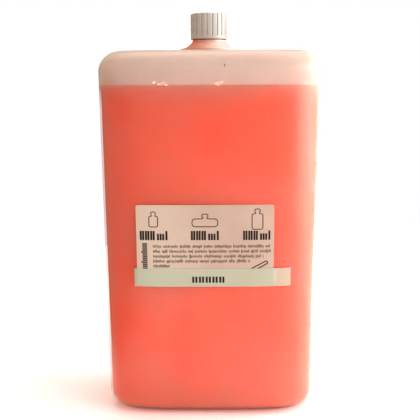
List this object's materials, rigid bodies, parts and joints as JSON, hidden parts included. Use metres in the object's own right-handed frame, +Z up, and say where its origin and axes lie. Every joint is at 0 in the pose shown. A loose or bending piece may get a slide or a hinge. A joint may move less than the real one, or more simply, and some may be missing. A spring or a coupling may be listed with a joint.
{
  "type": "hand soap refill pack",
  "caption": "Flat upright bottle of milky plastic holding coral liquid soap, with a short flared neck, a ribbed screw cap and front stickers, for refilling a soap dispenser.",
  "frame": {"origin": "middle of the base, at the height of the surface that the pack stands on", "axes": "+Z up along the axis of the neck, +Y from the label to the back wall, +X to the right of the label as it is read"},
  "size_m": [0.11, 0.06, 0.2034],
  "materials": {
    "bottle_plastic": "milky, translucent, semi-gloss",
    "soap": "pearly coral liquid",
    "cap_plastic": "moulded, satin white",
    "liner_foam": "white foam",
    "label_film": "clear film with dark print",
    "strip_paper": "pale matt paper"
  },
  "bodies": {
    "bottle": {"bottle": "bottle_plastic", "soap_fill": "soap", "product_label": "label_film", "code_strip": "strip_paper"},
    "liner": {"cap_liner": "liner_foam"},
    "cap": {"screw_cap": "cap_plastic"}
  },
  "joints": [
    {"name": "cap_lift", "type": "slide", "parent": "bottle", "child": "liner", "axis": [0, 0, 1], "range_m": [0, 0.00476]},
    {"name": "cap_turn", "type": "hinge", "parent": "liner", "child": "cap", "pos_m": [0, 0, 0.197], "axis": [0, 0, 1], "range_deg": [0, 540]}
  ],
  "couplings": [
    {"joint": "cap_turn", "follows": "cap_lift", "rad_per_m": 1979}
  ]
}
